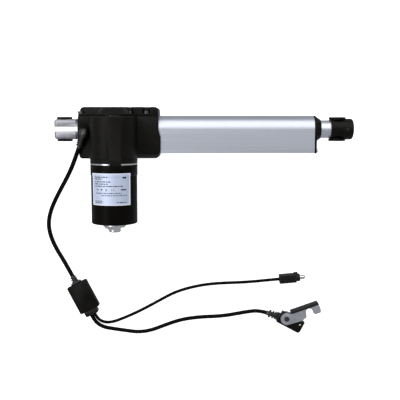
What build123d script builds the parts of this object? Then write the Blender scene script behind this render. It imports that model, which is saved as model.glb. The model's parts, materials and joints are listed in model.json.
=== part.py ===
from build123d import *
import math
import os

# Electric linear actuator with a clevis at the rear, a pinned rod head and a
# moulded cable set. Millimetres. The origin is the rear pin axis, where it
# crosses the spindle axis. +X is the stroke, +Y points away from the motor
# along both pin axes, +Z is the side with the motor tower.

# ---- driving dimensions ----
INSTALLED = 340.0          # rear pin to front pin, rod in
STROKE = 150.0
PIN_R = 5.0                # both mounting pins are 10 mm
BACK_Z = -26.0             # flat back of the gearbox, which rests on the table

# rear fork
FORK_R = 12.5
FORK_TIP_X = -11.4
FORK_END_X = 31.0
FORK_CORNER = 3.6
PRONG_END_X = 15.8         # the square part of the fork ends at the housing
PRONG_HALF_Y = 12.4
PRONG_HALF_Z = 11.5
PRONG_EDGE = 4.0
SLOT_HALF = 2.75
SLOT_END_X = 21.5
BUSH_R = 6.0
FORK_BUSH_FLANGE_R = 9.5
FORK_BUSH_Y = 15.1
FORK_PIN_R = 2.5
FORK_PIN_X = 26.0

# gearbox housing and cover
HOUSING_Y0 = -36.0
HOUSING_Y1 = 16.0
FRONT_Z = 20.0
COVER_Y = 27.0
WALL = 3.0
CORNER = 4.0
BEYOND_X = 130.0           # past the housing, for cuts that run out of it
GLAND_R = 5.0
WORM_BORE_R = 12.5
SPINDLE_HOLE_R = 9.0
SCREW_RECESS_R = 4.6
SCREW_CLEAR_R = 2.2
SCREW_CORE_R = 1.9
# (x0, x1) of the hollows under the cover
COVER_ROOMS = [(49.0, 76.5), (31.0, 46.0), (89.0, 97.5), (109.5, 114.0)]
EDGE = 2.5
COVER_PROUD = 0.8          # the cover stands this much in front of the housing
TOWER_R = 28.7
COLLAR_R = 28.6
COLLAR_Y = -41.0
NECK_X = 91.0              # the profile seats here
NECK_BEND = (-20.5, 20.0)  # (y, z) where the front of the neck starts to slope back
NECK_KNEE = (-30.5, 18.2)
NECK_LOW = (-36.0, 9.0)
# outline of housing and cover, seen from the front
HOUSING_OUTLINE = [
    (22.2, 27.0), (18.9, 11.0), (18.9, -13.0), (21.0, -36.0), (116.0, -36.0),
    (120.4, -28.0), (120.6, -10.0), (118.0, 0.0), (118.0, 14.0), (117.4, 27.0),
]
GEAR_X0 = 51.0
GEAR_X1 = 78.0
COVER_SCREW_XS = (23.4, 83.0, 103.5)
COVER_SCREW_ZS = (16.0, -21.0)
SCREW_SEAT_Y = 19.0

# worm drive
MODULE = 1.25
TEETH = 30
PRESSURE = math.radians(20)
WORM_PITCH_R = 6.75
WHEEL_PITCH_R = MODULE * TEETH / 2
MOTOR_X = 64.0
MOTOR_Z = WORM_PITCH_R + WHEEL_PITCH_R
WORM_HALF = 12.0
WHEEL_FACE = 10.0
BACKLASH = 0.4
WHEEL_PHASE_DEG = 9.0      # puts a gap of the wheel on the worm's thread

# lead screw and nut
LEAD = 4.0
SCREW_R = 7.0
SCREW_ROOT_R = 4.8
SCREW_X0 = 89.0
SCREW_X1 = 300.0
THREAD_GAP = 0.3
THREAD_START = 2.0
NUT_X0 = 106.0
NUT_X1 = 134.0
NUT_R = 14.2
JOURNAL_R = 6.0

# tapping screws
SMALL_SCREW_R = 1.3
SMALL_SCREW_LENGTH = 7.0

# ball bearings: bore radius, outer radius, width
SPINDLE_BEARING = (6.0, 14.0, 8.0)
SPINDLE_BEARING_XS = (35.0, 43.0, 78.0)
MOTOR_BEARING = (4.0, 11.0, 7.0)
MOTOR_BEARING_YS = (15.5, -45.0)

# motor
CAN_R = 28.0
CAN_RING_R = 28.5
CAN_RING_Y = -55.5
CAN_TOP_Y = -42.5
CAN_END_Y = -114.4
CAN_WALL = 2.0
CORE_R = 19.6
BELL_R = 14.2
BELL_Y = -119.6
BELL_HOLE_R = 11.9         # opening of the can inside the bell
BOSS_R = 7.4
BOSS_Y = -126.0
LABEL_Y0 = -90.2
LABEL_Y1 = -52.0
LABEL_HALF_DEG = 54.0
LABEL_TURN_DEG = -3.6

# outer profile, front cap, rod
PROFILE_R = 16.5
PROFILE_LOW_Y = -29.5
PROFILE_X1 = 309.8
PROFILE_WALL = 2.0
PORT_R = 3.5
PORT_Y = -26.0
PORT_Z = 13.0
CAP_PLATE_X = 312.6
CAP_TIP_X = 318.9
CAP_TIP_R = 11.7
SEAL_X0 = 311.4
SEAL_X1 = 315.0
SEAL_R = 13.0
ROD_R = 11.0
ROD_BORE_R = 9.0
ROD_X0 = 122.0
ROD_X1 = 355.0
HEAD_X0 = 331.0
HEAD_X1 = 359.2
HEAD_R = 13.0
HEAD_BUSH_FLANGE_R = 10.4
HEAD_BUSH_Y = 14.8
HEAD_SPOT_Y = 12.0

# cable set
MAIN_CABLE_R = 2.75
PLUG_CABLE_R = 2.0
LATCH_CABLE_R = 2.5
ELBOW_X = 28.9
ELBOW_Y = -3.3
ELBOW_R = 6.2
ELBOW_RING_R = 8.2
ELBOW_Z = 26.0
BOX_CENTRE = (15.75, -218.8, -19.5)
BOX_TURN_DEG = -62.9
BOX_L = 39.0
BOX_W = 28.0
BOX_H = 13.0
INLET_LENGTH = 11.5
OUTLET_LENGTH = 7.2
BOX_SLOPE_W = 7.5          # the long top edges slope down over this width
BOX_SLOPE_H = 3.2
BOX_ROOM_H = 2.5           # hollow depth in each half
PLUG_START = (272.8, -195.7, -20.5)
PLUG_TURN_DEG = 5.2
PLUG_HALF_W = 5.9
PLUG_HALF_H = 5.5
PLUG_L = 27.0
CONTACT_R = 2.7            # the free end of the pin
CONTACT_ROOT_R = 3.3       # the end held in the plug
LATCH_PIVOT = (282.7, -247.9, -19.7)
LATCH_TURN_DEG = -28.5
LEVER_TURN_DEG = 19.7
LATCH_HALF_H = 4.5
PLATE_T = 1.3
LATCH_EYE_R = 7.9
LATCH_HOLE_R = 2.0
LATCH_BOOT_ROOT = (-9.6, -3.2)
LATCH_BOOT_L = 16.0
LATCH_BOOT_FOOT = 1.4
LATCH_BOOT_TURN_DEG = 11.0 # the boot bends this much off the axis of the body
GRIP_X0 = 7.9
GRIP_X1 = 46.0
GRIP_LOW = 4.1
GRIP_TOP = 7.4

# centre lines of the three cables, end to end
MAIN_ROUTE = [
    (21.4, -22.8, 24.6),
    (16.9, -34.5, 23.8),
    (10.6, -47.6, 17.0),
    (1.6, -61.8, 5.0),
    (-9.1, -77.2, -7.5),
    (-19.4, -93.7, -17.5),
    (-26.6, -109.4, -22.4),
    (-28.9, -124.6, -23.2),
    (-26.2, -139.6, -23.2),
    (-19.6, -155.0, -23.0),
    (-10.8, -169.2, -21.6),
    (-2.7, -182.74, -19.5),
    (1.62, -191.19, -19.5),
]
PLUG_ROUTE = [
    (30.0, -241.5, -19.5),
    (33.0, -247.0, -19.5),
    (37.6, -251.6, -20.2),
    (44.2, -254.2, -21.4),
    (52.2, -254.2, -22.8),
    (61.1, -251.6, -23.8),
    (75.9, -245.6, -24.0),
    (94.0, -236.9, -24.0),
    (113.3, -226.2, -24.0),
    (137.5, -213.0, -24.0),
    (166.0, -205.2, -24.0),
    (191.0, -202.1, -24.0),
    (213.0, -201.3, -23.8),
    (236.0, -199.8, -22.6),
    (256.87, -197.15, -20.5),
    (272.8, -195.7, -20.5),
]
LATCH_ROUTE = [
    (25.95, -243.57, -19.5),
    (29.3, -250.2, -19.5),
    (34.4, -256.2, -20.4),
    (42.4, -261.0, -21.8),
    (53.5, -263.3, -23.0),
    (68.5, -265.6, -23.4),
    (87.0, -268.2, -23.4),
    (104.6, -265.5, -23.4),
    (122.0, -258.6, -23.4),
    (144.0, -250.8, -23.4),
    (169.0, -247.4, -23.4),
    (197.0, -246.4, -23.4),
    (219.0, -242.6, -23.2),
    (234.0, -239.6, -22.3),
    (246.4, -238.1, -20.3),
    (256.24, -240.65, -19.7),
]


# ---- shape helpers ----
def block(x0, x1, y0, y1, z0, z1):
    size = Box(x1 - x0, y1 - y0, z1 - z0, align=(Align.MIN,) * 3)
    return Pos(x0, y0, z0) * size


def round_x(x0, x1, r, y=0.0, z=0.0):
    body = Cylinder(r, x1 - x0, align=(Align.CENTER, Align.CENTER, Align.MIN))
    return Pos(x0, y, z) * Rot(0, 90, 0) * body


def round_y(y0, y1, r, x=0.0, z=0.0):
    body = Cylinder(r, y1 - y0, align=(Align.CENTER, Align.CENTER, Align.MIN))
    return Pos(x, y0, z) * Rot(-90, 0, 0) * body


def round_z(z0, z1, r, x=0.0, y=0.0):
    body = Cylinder(r, z1 - z0, align=(Align.CENTER, Align.CENTER, Align.MIN))
    return Pos(x, y, z0) * body


def ring_x(x0, x1, r_in, r_out):
    return round_x(x0, x1, r_out) - round_x(x0 - 1, x1 + 1, r_in)


def motor_round(y0, y1, r):
    return round_y(y0, y1, r, MOTOR_X, MOTOR_Z)


def motor_ring(y0, y1, r_in, r_out):
    return motor_round(y0, y1, r_out) - motor_round(y0 - 1, y1 + 1, r_in)


def cone_x(x0, x1, r0, r1):
    body = Cone(r0, r1, x1 - x0, align=(Align.CENTER, Align.CENTER, Align.MIN))
    return Pos(x0, 0, 0) * Rot(0, 90, 0) * body


def motor_cone(y0, y1, r0, r1):
    body = Cone(r0, r1, y1 - y0, align=(Align.CENTER, Align.CENTER, Align.MIN))
    return Pos(MOTOR_X, y0, MOTOR_Z) * Rot(-90, 0, 0) * body


def helical_thread(pitch, length, r_root, r_crest, w_root, w_crest):
    """One trapezoidal right-hand thread about Z from z = 0, sunk into its core.

    The crest lies outside the root on a screw, and inside it in a nut.
    """
    sunk = r_root - math.copysign(0.4, r_crest - r_root)
    half_sunk = w_root / 2 + 0.1
    path = Helix(pitch=pitch, height=length, radius=r_root)
    corners = [(sunk, -half_sunk), (r_crest, -w_crest / 2), (r_crest, w_crest / 2), (sunk, half_sunk)]
    section = Plane.XZ * Polygon(*corners, align=None)
    return sweep(section, path=path, is_frenet=True)


def profile_outline(grow=0.0):
    """D section in the YZ plane: half round above, straight sides below."""
    r = PROFILE_R + grow
    low = PROFILE_LOW_Y - grow
    edge = [Line((0, r), (low, r)), Line((low, r), (low, -r)), Line((low, -r), (0, -r))]
    edge.append(ThreePointArc((0, -r), (r, 0), (0, r)))
    return make_face(edge)


def extrude_along_x(sketch, x0, x1):
    """A sketch drawn as (y, z), extruded from x0 to x1."""
    plane = Plane(origin=(x0, 0, 0), x_dir=(0, 1, 0), z_dir=(1, 0, 0))
    return extrude(plane * sketch, amount=x1 - x0)


def pan_screw(head_r, head_h, shank_r, length):
    """Screw along -Z with its head seat at z = 0 and a cross recess in its head."""
    head = round_z(0, head_h, head_r)
    screw = head + round_z(-length, 0, shank_r)
    recess_z = head_h - 1.0
    recess = block(-head_r * 0.6, head_r * 0.6, -0.5, 0.5, recess_z, head_h + 1)
    recess += block(-0.5, 0.5, -head_r * 0.6, head_r * 0.6, recess_z, head_h + 1)
    return screw - recess


def small_screw():
    """Tapping screw of the end bell, the front cap and the splitter box."""
    return pan_screw(2.3, 1.5, SMALL_SCREW_R, SMALL_SCREW_LENGTH)


def turned_at(point, degrees):
    return Pos(*point) * Rot(0, 0, degrees)


# ---- output ----
def save(name, *solids):
    parts = [s for item in solids for s in item.solids()]
    shape = parts[0] if len(parts) == 1 else Compound(children=parts)
    export_step(shape, f"parts/{name}.step")


# ---- rear fork ----
def fork_bushes():
    size = (SLOT_HALF, PRONG_HALF_Y, FORK_BUSH_Y, BUSH_R, FORK_BUSH_FLANGE_R)
    return [flanged_bush(0, *size, side) for side in (1, -1)]


def rear_fork():
    """Rounded square ears outside the housing on a round shank inside it."""
    section = RectangleRounded(2 * PRONG_HALF_Y, 2 * PRONG_HALF_Z, PRONG_EDGE)
    ears = extrude_along_x(section, FORK_TIP_X, PRONG_END_X)
    ears = fillet(ears.faces().sort_by(Axis.X)[0].edges(), FORK_CORNER)
    fork = ears + round_x(PRONG_END_X - 1, FORK_END_X, FORK_R)
    fork -= block(FORK_TIP_X - 1, SLOT_END_X, -SLOT_HALF, SLOT_HALF, -FORK_R - 1, FORK_R + 1)
    fork -= round_y(-FORK_R - 1, FORK_R + 1, BUSH_R)
    fork -= round_z(-FORK_R - 1, FORK_R + 1, FORK_PIN_R, FORK_PIN_X)
    return fork


def flanged_bush(x, y_in, y_seat, y_out, r_body, r_flange, side):
    bush = round_y(y_in, y_seat, r_body, x) + round_y(y_seat, y_out, r_flange, x)
    bush = chamfer(bush.edges().sort_by(Axis.Y)[-1], 0.6)
    bush -= round_y(y_in - 1, y_out + 1, PIN_R, x)
    return bush if side > 0 else mirror(bush, about=Plane.XZ)


def fork_cross_pin():
    return round_z(-FORK_R + 0.35, FORK_R - 0.35, FORK_PIN_R, FORK_PIN_X)


# ---- gearbox ----
def housing_block(y0, y1, front):
    """The part between y0 and y1 of the rounded block that housing and cover share."""
    outline = Polygon(*HOUSING_OUTLINE, align=None)
    outline = fillet(outline.vertices(), CORNER)
    body = extrude(Pos(0, 0, BACK_Z) * outline, amount=front - BACK_Z)
    rims = body.faces().sort_by(Axis.Z)
    body = fillet(rims[-1].edges() + rims[0].edges(), EDGE)
    return body & block(0, BEYOND_X, y0, y1, BACK_Z - 1, front + 1)


def neck_slope():
    """The corner that is cut away from the front of the neck."""
    corners = [
        NECK_BEND,
        (NECK_BEND[0], FRONT_Z + 5),
        (HOUSING_Y0 - 1, FRONT_Z + 5),
        (HOUSING_Y0 - 1, NECK_LOW[1]),
        NECK_LOW,
        NECK_KNEE,
    ]
    x0 = MOTOR_X + TOWER_R * 0.6
    return extrude_along_x(Polygon(*corners, align=None), x0, BEYOND_X)


def gearbox_housing():
    body = housing_block(HOUSING_Y0, HOUSING_Y1, FRONT_Z) - neck_slope()
    tower = motor_round(HOUSING_Y0, HOUSING_Y1 - 0.5, TOWER_R)
    tower = fillet(tower.edges().sort_by(Axis.Y)[-1], 2.0)
    body += tower
    body += motor_round(COLLAR_Y, HOUSING_Y0, COLLAR_R)
    # gear chamber, worm bore and the passage to the motor
    body -= block(GEAR_X0, GEAR_X1, -24.0, HOUSING_Y1 + 1, -22.5, 22.5)
    body -= motor_round(-30.0, HOUSING_Y1 + 1, WORM_BORE_R)
    body -= motor_round(-31.0, -29.0, 9.0)
    body -= motor_round(COLLAR_Y - 1, -30.5, 14.0)
    # fork bore, bearing seats and shaft holes
    body -= round_x(PRONG_END_X, FORK_END_X, FORK_R)
    body -= round_x(FORK_END_X - 1, NECK_X + 1, SPINDLE_HOLE_R)
    body -= round_x(35.0, GEAR_X0, SPINDLE_BEARING[1])
    body -= round_x(GEAR_X1, 86.0, SPINDLE_BEARING[1])
    # seat of the outer profile
    body -= extrude_along_x(profile_outline(), NECK_X, BEYOND_X)
    # wiring space under the bearings and the gland hole at the front
    body -= block(24.0, 50.0, -33.0, -16.5, -23.0, 17.0)
    body -= block(24.0, 50.0, -18.0, -15.5, 14.5, 17.0)
    body -= block(ELBOW_X - 2, ELBOW_X + 2, -16.0, ELBOW_Y, 14.5, 17.0)
    body -= round_z(15.0, FRONT_Z + 2, GLAND_R, ELBOW_X, ELBOW_Y)
    for x, z in cover_screw_places():
        body -= round_y(HOUSING_Y1 - 6.5, HOUSING_Y1 + 1, SCREW_CORE_R, x, z)
    return body + motor_tab()


def cover_screw_places():
    return [(x, z) for x in COVER_SCREW_XS for z in COVER_SCREW_ZS]


def cover_boss():
    """Dome over the upper worm bearing."""
    boss = motor_round(HOUSING_Y1, HOUSING_Y1 + 2.5, 23.0)
    boss += motor_cone(HOUSING_Y1 + 2.5, COVER_Y - 2.0, 20.5, 15.0)
    return boss


def gearbox_cover():
    body = housing_block(HOUSING_Y1, COVER_Y, FRONT_Z + COVER_PROUD)
    body += cover_boss()
    roof = COVER_Y - WALL
    for x0, x1 in COVER_ROOMS:
        body -= block(x0, x1, HOUSING_Y1 - 1, roof, BACK_Z + WALL, FRONT_Z - 2)
    body -= extrude_along_x(profile_outline(), NECK_X, BEYOND_X)
    body -= motor_round(HOUSING_Y1 - 1, HOUSING_Y1 + 6.5, MOTOR_BEARING[1])
    body -= motor_round(HOUSING_Y1, HOUSING_Y1 + 7.5, 5.0)
    for x, z in cover_screw_places():
        body -= round_y(HOUSING_Y1 - 1, SCREW_SEAT_Y + 1, SCREW_CLEAR_R, x, z)
        body -= round_y(SCREW_SEAT_Y, COVER_Y + 1, SCREW_RECESS_R, x, z)
        out = FRONT_Z + 2 if z > 0 else BACK_Z - 1
        z0, z1 = sorted((z, out))
        body -= block(x - SCREW_RECESS_R, x + SCREW_RECESS_R, SCREW_SEAT_Y, COVER_Y + 1, z0, z1)
    return body


def cover_screws():
    screw = pan_screw(3.8, 2.8, 1.9, 9.3)
    return [Pos(x, SCREW_SEAT_Y, z) * Rot(-90, 0, 0) * screw for x, z in cover_screw_places()]


# ---- bearings ----
OUTER, INNER, BALLS = range(3)


def ball_bearing(bore_r, outer_r, width):
    """Pieces about Z from z = 0, as lists: outer race, inner race, balls."""
    depth = outer_r - bore_r
    mid = bore_r + depth / 2
    ball_r = depth * 0.27
    inner = round_z(0, width, bore_r + depth * 0.3) - round_z(-1, width + 1, bore_r)
    outer = round_z(0, width, outer_r) - round_z(-1, width + 1, outer_r - depth * 0.3)
    inner -= Pos(0, 0, width / 2) * Torus(mid, ball_r + 0.08)
    outer -= Pos(0, 0, width / 2) * Torus(mid, ball_r)
    count = int(2 * math.pi * mid / (ball_r * 2.9))
    balls = [Rot(0, 0, 360 * i / count) * Pos(mid, 0, width / 2) * Sphere(ball_r) for i in range(count)]
    return [outer], [inner], balls


def spindle_bearings(kind):
    pieces = ball_bearing(*SPINDLE_BEARING)[kind]
    return [Pos(x, 0, 0) * Rot(0, 90, 0) * piece for x in SPINDLE_BEARING_XS for piece in pieces]


def motor_bearings(kind):
    pieces = ball_bearing(*MOTOR_BEARING)[kind]
    return [Pos(MOTOR_X, y, MOTOR_Z) * Rot(-90, 0, 0) * piece for y in MOTOR_BEARING_YS for piece in pieces]


# ---- motor ----
def motor_mount_plate():
    plate = motor_round(CAN_TOP_Y, COLLAR_Y, CAN_RING_R)
    plate += motor_round(-47.0, -31.0, 14.0)
    plate -= motor_round(-48.0, -38.0, MOTOR_BEARING[1])
    return plate - motor_round(-39.0, -30.0, 6.5)


def motor_can():
    can = motor_round(CAN_END_Y, CAN_TOP_Y, CAN_R) + motor_round(CAN_RING_Y, CAN_TOP_Y, CAN_RING_R)
    can = chamfer(can.edges().group_by(Axis.Y)[0], 0.8)
    can -= motor_round(CAN_END_Y + CAN_WALL, CAN_TOP_Y + 1, CAN_R - CAN_WALL)
    return can - motor_round(CAN_END_Y - 1, CAN_END_Y + CAN_WALL + 1, BELL_HOLE_R)


def sector(r_in, r_out, y0, y1, from_deg, to_deg):
    """Ring segment about the motor axis. 0 degrees points to +Z, 90 to +X."""
    face = make_face([
        CenterArc((0, 0), r_out, 90 - to_deg, to_deg - from_deg),
        CenterArc((0, 0), r_in, 90 - to_deg, to_deg - from_deg),
        Line(polar(r_in, 90 - to_deg), polar(r_out, 90 - to_deg)),
        Line(polar(r_in, 90 - from_deg), polar(r_out, 90 - from_deg)),
    ])
    plane = Plane(origin=(MOTOR_X, y1, MOTOR_Z), x_dir=(1, 0, 0), z_dir=(0, -1, 0))
    return extrude(plane * face, amount=y1 - y0)


def polar(r, degrees):
    angle = math.radians(degrees)
    return (r * math.cos(angle), r * math.sin(angle))


def motor_tab():
    """Hook of the housing that reaches over the rim of the motor."""
    foot = sector(COLLAR_R - 0.5, COLLAR_R + 1.6, HOUSING_Y0 - 1, HOUSING_Y0 + 2, -3.0, 24.0)
    return foot + sector(COLLAR_R, COLLAR_R + 1.6, -44.5, HOUSING_Y0, -3.0, 24.0)


def nameplate():
    y0, y1 = LABEL_Y0, LABEL_Y1
    start, end = LABEL_TURN_DEG - LABEL_HALF_DEG, LABEL_TURN_DEG + LABEL_HALF_DEG
    low = sector(CAN_R, CAN_R + 0.15, y0, CAN_RING_Y, start, end)
    high = sector(CAN_RING_R, CAN_RING_R + 0.15, CAN_RING_Y, y1, start, end)
    step = sector(CAN_R, CAN_RING_R + 0.15, CAN_RING_Y - 0.5, CAN_RING_Y, start, end)
    return low + step + high


def motor_magnets():
    inner = CAN_R - CAN_WALL
    return [sector(20.6, inner, -100.0, -58.0, a - 68, a + 68) for a in (90, 270)]


def armature_core():
    core = motor_ring(-97.0, -61.0, 4.0, CORE_R)
    for place in armature_slots():
        core -= place * block(9.0, 17.5, -98.0, -60.0, -2.6, 2.6)
        core -= place * block(17.0, CORE_R + 1, -98.0, -60.0, -0.9, 0.9)
    return core


def armature_slots():
    return [Pos(MOTOR_X, 0, MOTOR_Z) * Rot(0, 45 * i, 0) for i in range(8)]


def armature_windings():
    ends = motor_ring(-61.0, -55.0, 7.0, 16.5) + motor_ring(-100.8, -97.0, 7.0, 16.5)
    ends = fillet(ends.edges().filter_by(GeomType.CIRCLE).group_by(Axis.Y)[0], 1.2)
    for place in armature_slots():
        ends += place * block(9.2, 16.5, -98.0, -60.0, -2.4, 2.4)
    return ends


def commutator():
    ring = motor_ring(-108.0, -102.0, 4.0, 8.5)
    for i in range(16):
        ring -= Pos(MOTOR_X, 0, MOTOR_Z) * Rot(0, 22.5 * i, 0) * block(7.6, 9.0, -109.0, -103.0, -0.2, 0.2)
    return ring


def brush_holder():
    plate = motor_ring(-111.0, -108.6, 9.5, CAN_R - CAN_WALL)
    for turn in (0, 180):
        place = Pos(MOTOR_X, 0, MOTOR_Z) * Rot(0, turn, 0)
        plate += place * block(10.0, 21.0, -109.0, -101.5, -4.0, 4.0)
        plate -= place * block(8.0, 19.8, -107.6, -102.9, -2.6, 2.6)
    return plate


def carbon_brushes():
    brush = block(8.6, 14.0, -107.5, -103.0, -2.5, 2.5)
    return [Pos(MOTOR_X, 0, MOTOR_Z) * Rot(0, turn, 0) * brush for turn in (0, 180)]


def brush_springs():
    coil = sweep(Plane.XZ * Pos(1.6, 0) * Circle(0.3), path=Helix(1.3, 5.2, 1.6), is_frenet=True)
    spring = Pos(14.3, -105.25, 0) * Rot(0, 90, 0) * coil
    return [Pos(MOTOR_X, 0, MOTOR_Z) * Rot(0, turn, 0) * spring for turn in (0, 180)]


def motor_end_bell():
    bell = motor_round(BELL_Y + 2.0, CAN_END_Y, BELL_R) + motor_cone(BELL_Y, BELL_Y + 2.0, 12.8, BELL_R)
    bell += motor_round(BOSS_Y, BELL_Y, BOSS_R)
    bell = fillet(bell.edges().group_by(Axis.Y)[0], 1.5)
    bell -= motor_round(CAN_END_Y - 2.5, CAN_END_Y + 1, 11.5)
    bell -= motor_round(BOSS_Y + 1.5, CAN_END_Y, 5.5)
    for place in end_screw_places():
        bell -= place * round_z(-8.0, 1.0, SMALL_SCREW_R)
    for x, z in terminal_places():
        bell -= block(x - 3.4, x + 3.4, BELL_Y - 1, CAN_END_Y, z - 1.0, z + 1.0)
    return bell


def end_screw_places():
    """Screw frames on the end face, head towards -Y."""
    spots = ((-9.4, 4.6), (9.4, -4.6))
    return [Pos(MOTOR_X + dx, BELL_Y, MOTOR_Z + dz) * Rot(90, 0, 0) for dx, dz in spots]


def end_screws():
    return [place * small_screw() for place in end_screw_places()]


def terminal_places():
    return [(MOTOR_X + 4.6, MOTOR_Z + 9.8), (MOTOR_X - 3.4, MOTOR_Z + 9.8)]


def motor_terminals():
    """Two insulated spade terminals that stand in slots of the end bell."""
    pieces = []
    for x, z in terminal_places():
        blade = block(x - 3.4, x + 3.4, BELL_Y - 2.5, CAN_END_Y - 2.6, z - 1.0, z + 1.0)
        pieces.append(blade)
    return pieces


def rear_motor_bush():
    return motor_ring(BOSS_Y + 1.5, CAN_END_Y - 2.5, 3.05, 5.5)


def motor_shaft():
    shaft = motor_round(-112.0, 22.5, 4.0) + motor_round(BOSS_Y + 2.0, -112.0, 3.0)
    shaft += motor_round(WORM_HALF, MOTOR_BEARING_YS[0], 5.0)
    return shaft + motor_round(-38.0, -WORM_HALF, 5.0)


def worm():
    """Single-start worm about the motor axis, bored for the motor shaft."""
    pitch = math.pi * MODULE
    root = WORM_PITCH_R - 1.25 * MODULE
    crest = WORM_PITCH_R + MODULE
    half_pitch_w = pitch / 2 - BACKLASH
    w_root = half_pitch_w + 2 * (WORM_PITCH_R - root) * math.tan(PRESSURE)
    w_crest = half_pitch_w - 2 * MODULE * math.tan(PRESSURE)
    turns = 5
    thread = helical_thread(pitch, turns * pitch, root, crest, w_root, w_crest)
    thread = Pos(0, 0, -turns * pitch / 2) * thread
    core = Rot(0, 0, 40) * round_z(-WORM_HALF, WORM_HALF, root)
    body = core + thread - round_z(-WORM_HALF - 1, WORM_HALF + 1, 4.0)
    return Pos(MOTOR_X, 0, MOTOR_Z) * Rot(-90, 0, 0) * body


# ---- spindle drive ----
def tooth_points(tooth, phase):
    """Two root and two tip corners of one wheel tooth, as (radius, angle)."""
    pitch_angle = 2 * math.pi / TEETH
    half = (math.pi * MODULE / 2 - BACKLASH) / 2
    tip_r = WHEEL_PITCH_R + MODULE
    root_r = WHEEL_PITCH_R - 1.25 * MODULE
    half_tip = (half - MODULE * math.tan(PRESSURE)) / tip_r
    half_root = (half + 1.25 * MODULE * math.tan(PRESSURE)) / root_r
    mid = tooth * pitch_angle + phase
    corners = ((root_r, -half_root), (tip_r, -half_tip), (tip_r, half_tip), (root_r, half_root))
    return [(r * math.cos(mid + a), r * math.sin(mid + a)) for r, a in corners]


def wheel_section(z, phase):
    points = []
    for tooth in range(TEETH):
        points += tooth_points(tooth, phase)
    return Pos(0, 0, z) * Polygon(*points, align=None)


def worm_wheel(phase_deg):
    """Helical wheel on the spindle. Its helix equals the lead of the worm."""
    helix = math.atan(MODULE / (2 * WORM_PITCH_R))
    twist = WHEEL_FACE / 2 * math.tan(helix) / WHEEL_PITCH_R
    middle = math.radians(phase_deg)
    low = wheel_section(-WHEEL_FACE / 2, middle - twist)
    high = wheel_section(WHEEL_FACE / 2, middle + twist)
    rim = loft([low, high], ruled=True)
    wheel = Pos(MOTOR_X, 0, 0) * Rot(0, 90, 0) * rim
    wheel += round_x(GEAR_X0, GEAR_X1, 8.4)
    for x0, x1 in ((58.0, 61.0), (67.0, 70.0)):
        wheel -= ring_x(x0, x1, 9.5, 14.5)
    wheel -= round_x(GEAR_X0 - 1, GEAR_X1 + 1, JOURNAL_R)
    return wheel - key_block()


def key_block():
    return block(57.0, 71.0, 3.5, 7.4, -2.0, 2.0)


def lead_screw():
    length = SCREW_X1 - SCREW_X0
    w_mid = LEAD / 2 - THREAD_GAP / 2
    thread = helical_thread(LEAD, length - 6, SCREW_ROOT_R, SCREW_R, w_mid + 0.6, w_mid - 0.6)
    body = Rot(0, 0, 40) * round_z(-1, length, SCREW_ROOT_R) + Pos(0, 0, THREAD_START) * thread
    screw = Pos(SCREW_X0, 0, 0) * Rot(0, 90, 0) * body
    screw += round_x(35.0, SCREW_X0 - 1, JOURNAL_R) + round_x(31.6, 35.0, 5.0)
    return screw - key_block()


def retaining_nut():
    return ring_x(31.6, 35.0, 5.0, 7.6)


def spindle_end_guide():
    """Plastic disc that centres the free end of the screw inside the rod."""
    return round_x(SCREW_X1, SCREW_X1 + 5, ROD_BORE_R - 0.2)


def drive_nut():
    nut = round_x(NUT_X0, NUT_X1, NUT_R) + block(NUT_X0 + 2, NUT_X0 + 18, -18.0, -10.0, -3.7, 3.7)
    nut -= round_x(NUT_X0 - 1, NUT_X1 + 1, SCREW_R + THREAD_GAP)
    nut -= round_x(ROD_X0, NUT_X1 + 1, ROD_R)
    nut -= nut_pin_hole()
    nut += nut_thread()
    return nut - nut_magnet()


def nut_thread():
    """Inner thread of the nut, which runs in the middle of the screw's groove."""
    w_root = LEAD / 2 + 0.5 - THREAD_GAP
    w_crest = LEAD / 2 - 0.5 - THREAD_GAP
    first = THREAD_START + LEAD / 2 + 4 * LEAD
    length = 2.75 * LEAD
    thread = helical_thread(LEAD, length, SCREW_R + THREAD_GAP, SCREW_ROOT_R + THREAD_GAP, w_root, w_crest)
    return Pos(SCREW_X0 + first, 0, 0) * Rot(0, 90, 0) * thread


def nut_magnet():
    return block(NUT_X0 + 6, NUT_X0 + 12, -18.0, -15.0, -2.0, 2.0)


def nut_pin_hole():
    return round_z(-NUT_R - 1, NUT_R + 1, 2.0, 128.0)


def nut_pins():
    full = round_z(-NUT_R + 0.3, NUT_R - 0.3, 2.0, 128.0)
    return full - round_x(120.0, 136.0, ROD_BORE_R)


# ---- rod ----
def push_tube():
    tube = ring_x(ROD_X0, ROD_X1, ROD_BORE_R, ROD_R)
    tube -= nut_pin_hole()
    tube -= round_y(-ROD_R - 1, ROD_R + 1, 6.5, INSTALLED)
    return tube - round_z(-ROD_R - 1, ROD_R + 1, 2.0, 351.0)


def rod_head():
    head = round_x(HEAD_X0, HEAD_X1, HEAD_R)
    head = fillet(head.edges().filter_by(GeomType.CIRCLE).sort_by(Axis.X)[-1], 3.0)
    head -= round_x(HEAD_X0 - 1, ROD_X1, ROD_R)
    for side in (1, -1):
        low, high = sorted((side * HEAD_SPOT_Y, side * (HEAD_SPOT_Y + 2)))
        head -= round_y(low, high, HEAD_BUSH_FLANGE_R, INSTALLED)
    head -= round_y(-HEAD_R - 1, HEAD_R + 1, 6.5, INSTALLED)
    return head - round_z(-HEAD_R - 1, HEAD_R + 1, 2.0, 351.0)


def rod_head_pin():
    return round_z(-HEAD_R + 0.3, HEAD_R - 0.3, 2.0, 351.0)


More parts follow.
